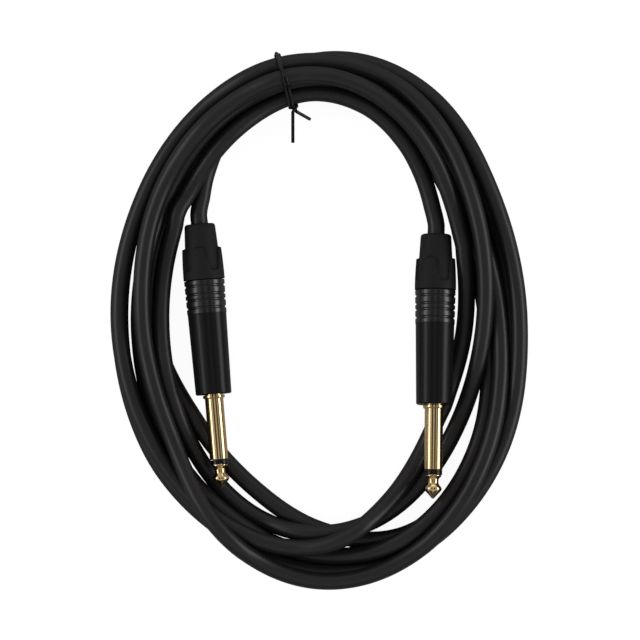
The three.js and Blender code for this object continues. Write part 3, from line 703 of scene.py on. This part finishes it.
def wire_piece(name, points, diameter, sides, steps, material):
    """A round wire or cable along points in the part, made by its geometry tree."""
    line = bpy.data.meshes.new(name + "_line")
    line.from_pydata(points.tolist(), [(i, i + 1) for i in range(len(points) - 1)], [])
    mesh = apply_tree(new_piece(name + "_line", line), wire_tree(), {
        "Diameter": diameter, "Sides": sides, "Steps": steps, "Material": material})
    mesh.name = name
    return new_piece(name, mesh)


# What the cable's operator leaves for the tie's: the cable's path and length in metres, and where
# the loops pass the tie, in mm.
laid = {}


# ---- Operators ----

def emptied_tree(block):
    """The node tree of a material or world, without its first nodes."""
    block.use_nodes = True
    block.node_tree.nodes.clear()
    return block.node_tree


def pane(name, middle, half_width, half_length, material):
    """A flat four-cornered piece of the stage."""
    corners = [middle + w * half_width + v * half_length
               for w, v in ((-1, -1), (1, -1), (1, 1), (-1, 1))]
    mesh = bpy.data.meshes.new(name)
    mesh.from_pydata(corners, [], [(0, 1, 2, 3)])
    piece = new_piece(name, mesh, material)
    return piece


class CABLE_OT_stage(Operator):
    """Set up the camera over the cable, the pale surface and the soft lights"""
    bl_idname = "cable.stage"
    bl_label = "Stage"

    def execute(self, context):
        settings = context.scene.cable_part.stage
        scene = context.scene
        scene.view_settings.view_transform = "Standard"
        self.camera(scene, settings)
        self.floor(settings)
        self.sky(scene, settings)
        self.lamps(scene, settings)
        self.dark_strips()
        return {"FINISHED"}

    def camera(self, scene, settings):
        """Looks straight down. The view's width is true at the plugs' height."""
        sensor_width, plug_height = 36, 0.006
        data = bpy.data.cameras.new("camera")
        data.sensor_width = sensor_width
        data.lens = sensor_width * (settings.camera_height - plug_height) / settings.view_width
        camera = bpy.data.objects.new("camera", data)
        camera.location = (COIL_MIDDLE[0], COIL_MIDDLE[1], settings.camera_height)
        scene.collection.objects.link(camera)
        scene.camera = camera

    def floor(self, settings):
        """White to the camera, with a faint shadow, and mid grey to all else."""
        material = bpy.data.materials.new("pale surface")
        tree = emptied_tree(material)
        glow = settings.floor_glow
        white = place(tree, "ShaderNodeEmission", {"Strength": glow})
        catching = place(tree, "ShaderNodeBsdfDiffuse", {"Color": (*[1.1 - glow] * 3, 1)})
        both = place(tree, "ShaderNodeAddShader", {0: white, 1: catching})
        plain = place(tree, "ShaderNodeBsdfDiffuse", {"Color": (0.5, 0.5, 0.5, 1)})
        path = place(tree, "ShaderNodeLightPath")
        mixed = place(tree, "ShaderNodeMixShader", {
            0: path.outputs["Is Camera Ray"], 1: plain, 2: both})
        place(tree, "ShaderNodeOutputMaterial", {"Surface": mixed})
        pane("floor", Vector((0, 0, -0.0001)), Vector((3, 0, 0)), Vector((0, 3, 0)), material)

    def sky(self, scene, settings):
        """White to the camera, and an even dim light to all else."""
        world = bpy.data.worlds.new("soft room")
        tree = emptied_tree(world)
        seen = Term(tree, place(tree, "ShaderNodeLightPath"), "Is Camera Ray")
        level = seen * (1 - settings.ambient) + settings.ambient
        sky = place(tree, "ShaderNodeBackground", {"Color": (1, 1, 1, 1), "Strength": level})
        place(tree, "ShaderNodeOutputWorld", {"Surface": sky})
        scene.world = world

    def lamps(self, scene, settings):
        for name, (at, size) in LAMPS.items():
            data = bpy.data.lights.new(name, "AREA")
            data.shape = "RECTANGLE"
            data.size, data.size_y = size
            data.energy = getattr(settings, name + "_power")
            lamp = bpy.data.objects.new(name, data)
            lamp.location = at
            lamp.rotation_euler = (LAMPS_FACE - lamp.location).to_track_quat("-Z", "Y").to_euler()
            scene.collection.objects.link(lamp)

    def dark_strips(self):
        """Strips that only reflections show: on the arch, and one upright in front."""
        dark = bpy.data.materials.new("dark card")
        tree = emptied_tree(dark)
        glow = place(tree, "ShaderNodeEmission", {"Color": (0.05, 0.05, 0.05, 1), "Strength": 1.0})
        place(tree, "ShaderNodeOutputMaterial", {"Surface": glow})
        leans = ((Matrix.Rotation(math.radians(d), 3, "Y"), width) for d, width in DARK_STRIPS)
        strips = [(lean @ Vector((0, 0, ARCH_RADIUS)), lean @ Vector((half_width, 0, 0)),
                   Vector((0, STRIP_HALF_LENGTH, 0))) for lean, half_width in leans]
        upright = Vector((0, -ARCH_RADIUS, 0.16)), Vector((0, 0, 0.16)), Vector((0.6, 0, 0))
        for sides in (*strips, upright):
            strip = pane("dark_strip", *sides, dark)
            for ray in ("camera", "diffuse", "transmission", "volume_scatter", "shadow"):
                setattr(strip, "visible_" + ray, False)


class CABLE_OT_cable(Operator):
    """Lay the cable along its settled route, from the left boot to the right one"""
    bl_idname = "cable.cable"
    bl_label = "Cable"

    def execute(self, context):
        part = context.scene.cable_part
        settings = part.cable
        in_boot = 3  # mm that the cable goes on in a boot
        lie = Route(settings, part.tie)
        points = lie.settled(settings.rounds)
        ends = [face + axes[:, 1] * (BOOT_MOUTH + in_boot) for face, axes in lie.plugs.values()]
        path = np.vstack([ends[0], points, ends[1]]) * MM + COIL_MIDDLE
        material = finish("cable jacket", settings.colour, settings.roughness, soft_rims=True)
        cable = wire_piece("cable", path, settings.diameter, settings.sides, 2, material)
        stand_in(cable, "cable", "black_jacket",
                 "cable_coil", "cable_lead_left", "cable_lead_right")
        laid["path"] = path
        laid["length"] = float(np.linalg.norm(np.diff(path, axis=0), axis=1).sum())
        laid["crossings"] = points[np.abs(lie.from_tie) < 0.1]
        return {"FINISHED"}


def ease(t):
    """Eases from 0 at 0 to 1 at 1."""
    t = min(1, max(0, t))
    return t * t * (3 - 2 * t)


class CABLE_OT_tie(Operator):
    bl_idname = "cable.tie"
    bl_label = "Tie"

    def execute(self, context):
        part = context.scene.cable_part
        settings = part.tie
        points = self.wind(settings, part.cable)
        material = finish("tie coating", settings.colour, roughness=0.32)
        tie = wire_piece("wire_tie", points * MM + COIL_MIDDLE, settings.diameter, 14, 3, material)
        stand_in(tie, "cable", "tie_coat", "tie")
        return {"FINISHED"}

    def wind(self, settings, cable):
        """The tie's path: one end, its part of the twist, the rings, and the other end's."""
        crossings = laid["crossings"]
        wire = settings.diameter / MM
        off_cable, off_wire = 0.04, 0.05  # mm between the wire and what it lies on
        clear = cable.diameter / MM / 2 + wire / 2 + off_cable
        pitch = wire + off_wire
        twist_radius = 0.55 * wire
        a = settings.clock
        out = np.array([cable.half_length * math.sin(a), cable.half_width * math.cos(a), 0])
        out /= np.linalg.norm(out)
        up = np.array([0.0, 0, 1])
        clockwise = np.cross(out, up)
        middle = crossings.mean(0)
        per_turn = 24
        steps = per_turn * settings.turns

        def on_ring(i):
            """A ring starts and ends at the inner side; later ones lie over the first outside."""
            turn = math.pi * (1 + 2 * i / per_turn)
            way = out * math.cos(turn) + up * math.sin(turn)
            past_outer = (i % per_turn - per_turn / 2) * math.pi / (per_turn / 2)
            stacked = ease((past_outer - 0.15) / 0.5) * ease((1.75 - past_outer) / 0.5)
            lift = pitch * stacked if i > per_turn else 0
            p = crossings[np.argmax(crossings @ way)] + way * (clear + lift)
            slant = (settings.offset - settings.slant * math.cos(turn)) / MM
            aside = pitch * settings.turns / 2 * (1 - 2 * i / steps) * (1 - stacked)
            return p + clockwise * ((middle - p) @ clockwise + slant + aside)

        rings = [on_ring(i) for i in range(steps + 1)]
        start = (rings[0] + rings[-1]) / 2
        inward = -out * math.cos(settings.droop) - up * math.sin(settings.droop)
        across = np.cross(inward, clockwise)

        def end(phase, away, aside, height):
            """Half a turn of the twist, and on in an arc to where the end lies."""
            points = []
            for share in np.arange(2, 9) / 8:
                turn = phase + math.pi * share
                round_it = clockwise * math.cos(turn) + across * math.sin(turn)
                points.append(start + inward * settings.twist_length / MM * share
                              + twist_radius * round_it)
            last = np.array([start[0], start[1], height]) - out * away + clockwise * aside
            way = last - points[-1]
            return points + [points[-1] + way * share for share in (0.1, 0.25, 0.5, 0.75, 1)]

        first, second = (end(phase, *where) for phase, where in zip((0, math.pi), TIE_ENDS))
        return np.array([*first[::-1], *rings, *second])


class CABLE_OT_boots(Operator):
    """Mould the screw-on rubber boots with their lobes and threaded spigots"""
    bl_idname = "cable.boots"
    bl_label = "Boots"

    def execute(self, context):
        settings = context.scene.cable_part.boot
        material = finish("boot rubber", settings.colour, settings.roughness)
        values = {"lobes": float(settings.lobes), "lip": BOOT_LIP, "rear": BOOT_BASE,
                  **{name: getattr(settings, name) / MM for name in BOOT_LENGTHS},
                  **{name: radius(settings, name) for name in BOOT_RADII}, "Material": material}
        for side in SIDES:
            values["turn"] = math.radians(BOOT_TURN[side])
            body = new_piece("boot_body", self.body(settings))
            mesh = seat(apply_tree(body, boot_tree(), values), side, 50)
            boot = new_piece("boot_" + side + "_moulding", mesh)
            stand_in(boot, "boot_" + side, "black_rubber", "boot_" + side)
        return {"FINISHED"}

    def body(self, settings):
        """A plain turned body, in rows that the tree bends into lobes and a thread.

        A row has its place and radius, its number up the outside or else -1, and 1 on the thread.
        """
        mouth = radius(settings, "mouth")
        thread, collet_bore, cable_bore = 5.3, 4.6, 3.3
        lip = [(math.sin(a), math.cos(a)) for a in np.linspace(math.pi / 2, 0, 7)[:-1]]
        numbers = (*np.linspace(3, 2, 10), *np.linspace(2, 1, 8)[1:], *np.linspace(1, 0, 12)[1:])
        rows = [(BOOT_MOUTH + BOOT_LIP * (1 - x), mouth - BOOT_LIP * (1 - y), -1, 0)
                for x, y in lip]
        rows += [(BOOT_BASE, 6, number, 0) for number in numbers] + [(BOOT_BASE, thread, -1, 0)]
        rows += [(s, thread, -1, 1) for s in np.linspace(BOOT_BASE + 0.6, SPIGOT_END - 0.4, 51)]
        rows += [(s, r, -1, 0) for s, r in (
            (SPIGOT_END, thread - 0.3), (SPIGOT_END, collet_bore), (-44.9, collet_bore),
            (-44.9, cable_bore), (BOOT_MOUTH + 0.4, cable_bore), (BOOT_MOUTH, cable_bore + 0.3))]
        segments = 128
        turns = 2 * math.pi * np.arange(segments) / segments
        carried = {"turn": np.tile(turns, len(rows)),
                   "row": np.repeat([r[2] for r in rows], segments),
                   "threaded": np.repeat([r[3] for r in rows], segments)}
        return turned_mesh("boot_body", [r[:2] for r in rows], segments, carried)


class CABLE_OT_shells(Operator):
    """Turn the black shells with their grooved grips"""
    bl_idname = "cable.shells"
    bl_label = "Shells"

    def execute(self, context):
        settings = context.scene.cable_part.shell
        black = finish("black shell finish", settings.colour, settings.roughness)
        worn = finish("black grip finish", settings.colour, settings.grip_roughness)
        for side in SIDES:
            shell = turned_piece("shell", self.profile(settings), side, black, 128)
            shell.data.materials.append(worn)
            to_plug = plug_frame(side).inverted()
            for face in shell.data.polygons:
                face.material_index = int((to_plug @ face.center).y < GRIP_FRONT)
            stand_in(shell, "cable", "black_shell", "shell_" + side)
        return {"FINISHED"}

    def profile(self, settings):
        """A slim cone with a grooved grip, and a body in front of it that is a little thinner."""
        front, rear = radius(settings, "front"), radius(settings, "rear")
        depth, width = settings.groove_depth / MM, settings.groove_width / MM
        bore, nose_bore, thinner = 5.6, 3.5, 0.12

        def at(s, less=0):
            return s, rear + (front - rear) * (s - SHELL_REAR) / -SHELL_REAR - less

        corners = [(SHELL_REAR, bore), (*at(SHELL_REAR), 0.3)]
        groove = (-0.5, 0, 0.22), (-0.25, depth, 0.1), (0.25, depth, 0.1), (0.5, 0, 0.22)
        for middle in GROOVES:
            corners += [(middle + past * width, at(middle, less)[1], fillet)
                        for past, less, fillet in groove]
        return corners + [
            (*at(-28.0), 0.25), (*at(-27.6, thinner), 0.2), at(-14.0, thinner),
            (*at(-0.35, thinner), 0.12), (*at(0, 0.45), 0.1),
            (0, nose_bore, 0.1), (-1.5, nose_bore), (-1.5, bore)]


class CABLE_OT_noses(Operator):
    """Turn the gold sleeves, collars and tips, and the black rings between them"""
    bl_idname = "cable.noses"
    bl_label = "Noses"

    def execute(self, context):
        settings = context.scene.cable_part.nose
        gold = finish("gold plate", settings.gold, settings.roughness)
        black = finish("insulator moulding", settings.insulator, roughness=0.14)
        for side in SIDES:
            for name, profile, slot, material in (
                    ("sleeve_contact", self.sleeve(settings), "gold", gold),
                    ("tip_contact", self.tip(settings), "gold", gold),
                    ("tip_insulator", self.ring(), "black_insulator", black)):
                piece = turned_piece(name, profile, side, material)
                stand_in(piece, "cable", slot, name + "_" + side)
        return {"FINISHED"}

    def sleeve(self, settings):
        """The rivet's end and the flange inside the shell, the collar, and the barrel."""
        barrel, collar = radius(settings, "sleeve"), radius(settings, "collar")
        bore, flange = 2.3, 5.3
        return [(-4.9, bore), (-4.9, 2.8, 0.1), (-4.0, 2.8), (-4.0, flange, 0.2),
                (-1.8, flange, 0.2), (-1.8, barrel), (0.3, barrel),
                (0.3, collar, 0.12), (1.15, collar, 0.1), (1.4, collar - 0.3, 0.1),
                (1.4, barrel + 0.1, 0.05), (1.5, barrel),
                (22.3, barrel, 0.1), (22.45, barrel - 0.15), (22.45, bore)]

    def tip(self, settings):
        """The riveted head at the rear, the rod, the flare, the neck, and the pointed ball."""
        neck, ball, rod = radius(settings, "neck"), radius(settings, "ball"), 1.0
        return [(-10.0, 0), (-10.0, 1.3), (-9.7, 1.6, 0.2), (-9.3, 1.6), (-9.3, rod), (24.35, rod),
                (24.35, 2.85, 0.08), (24.65, 2.85, 0.15),
                (25.5, neck + 0.1, 0.7), (26.4, neck, 0.5), (27.25, neck + 0.05, 0.35),
                (29.05, ball + 0.35, 1.0), (31.9, 0.7, 0.5), (32.3, 0.4, 0.25), (32.4, 0)]

    def ring(self):
        """The tube inside the sleeve, and the ring with its fine line."""
        bore, tube, ring = 1.3, 2.0, 3.1
        return [(-3.5, bore), (-3.5, tube), (22.6, tube), (22.6, ring, 0.1), (23.2, ring, 0.05),
                (23.28, 3.02), (23.36, ring, 0.05), (24.15, ring, 0.1), (24.15, bore)]


class CABLE_OT_insides(Operator):
    """Finish the pieces inside the plugs: collets, washers, liners, lugs and wires"""
    bl_idname = "cable.insides"
    bl_label = "Insides"

    def execute(self, context):
        settings = context.scene.cable_part.inside
        jacket = bpy.data.materials["cable jacket"]
        white = finish("white moulding", settings.plastic, roughness=0.45)
        core = finish("core insulation", settings.core, roughness=0.4)
        clear = finish("liner sheet", settings.liner, roughness=0.25)
        tin = finish("tin plate", settings.tin, roughness=0.3)
        finishes = {"rear_insulator": white, "collet": white, "core_wire": core, "liner": clear,
                    "tip_lug": tin, "screen_lug": tin, "screen_tail": tin, "jacket_end": jacket}
        for side in SIDES:
            for name, material in finishes.items():
                node = frame["nodes"][name + "_" + side]
                node.data.materials.clear()
                node.data.materials.append(material)
        return {"FINISHED"}


class CABLE_PT_part(Panel):
    """The steps that build the cable"""
    bl_idname = "CABLE_PT_part"
    bl_label = "Instrument Cable"
    bl_space_type = "VIEW_3D"
    bl_region_type = "UI"
    bl_category = "Cable"

    def draw(self, context):
        for operator in OPERATORS:
            self.layout.operator(operator.bl_idname)


OPERATORS = (CABLE_OT_stage, CABLE_OT_cable, CABLE_OT_tie, CABLE_OT_boots, CABLE_OT_shells,
             CABLE_OT_noses, CABLE_OT_insides)
CLASSES = (StageSettings, CableSettings, TieSettings, BootSettings, ShellSettings, NoseSettings,
           InsideSettings, CablePartSettings, *OPERATORS, CABLE_PT_part)


def register():
    for cls in CLASSES:
        bpy.utils.register_class(cls)
    bpy.types.Scene.cable_part = group(
        CablePartSettings, "Cable part", "Sizes and colours of the cable")


def unregister():
    del bpy.types.Scene.cable_part
    for cls in reversed(CLASSES):
        bpy.utils.unregister_class(cls)


def main():
    register()
    for operator in OPERATORS:
        family, name = operator.bl_idname.split(".")
        if getattr(getattr(bpy.ops, family), name)() != {"FINISHED"}:
            raise RuntimeError(operator.bl_label + " did not finish")


if __name__ == "__main__":
    main()
